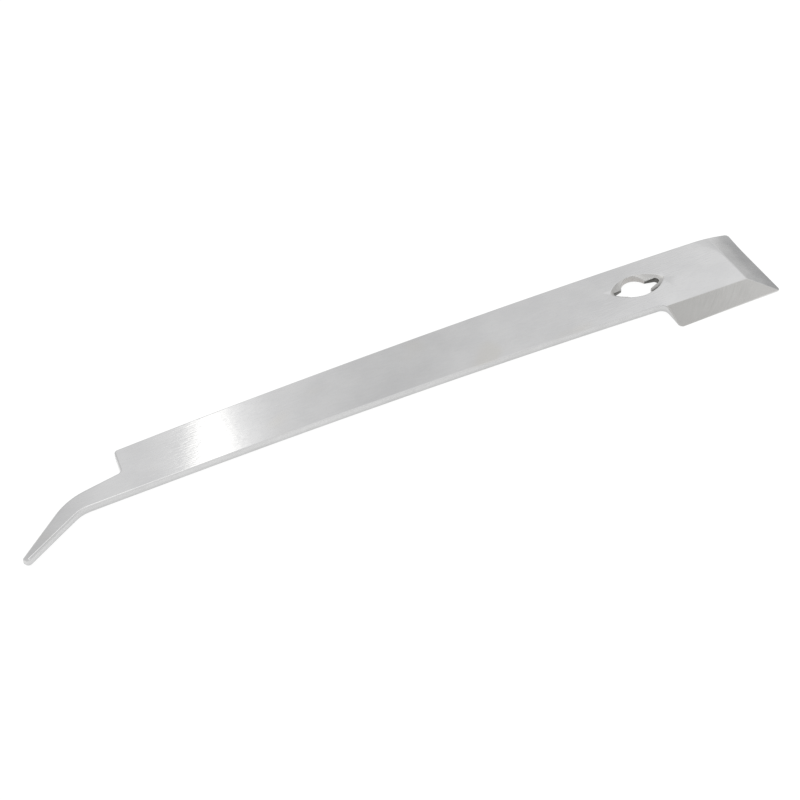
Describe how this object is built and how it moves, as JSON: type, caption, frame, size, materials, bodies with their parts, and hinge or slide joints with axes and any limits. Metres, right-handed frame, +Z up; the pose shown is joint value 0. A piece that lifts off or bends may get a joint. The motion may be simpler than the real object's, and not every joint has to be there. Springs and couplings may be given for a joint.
{
  "type": "hive tool",
  "caption": "One-piece steel beekeeper's hive tool: tapered bar with a chisel blade, side scraper, keyed nail-puller hole and a hooked frame-lifting end.",
  "frame": {"origin": "centre of the tool's box, at the underside that it lies flat on", "axes": "+X along the bar towards the chisel edge, +Y across the bar towards the shoulder's side, +Z up out of the face that the edges are ground on"},
  "size_m": [0.2648, 0.033, 0.0028],
  "materials": {
    "steel": "lengthwise brushed spring stainless, bare, with cross-ground edges at the chisel and the scraper"
  },
  "bodies": {
    "root": {"hive_tool": "steel"}
  },
  "joints": []
}
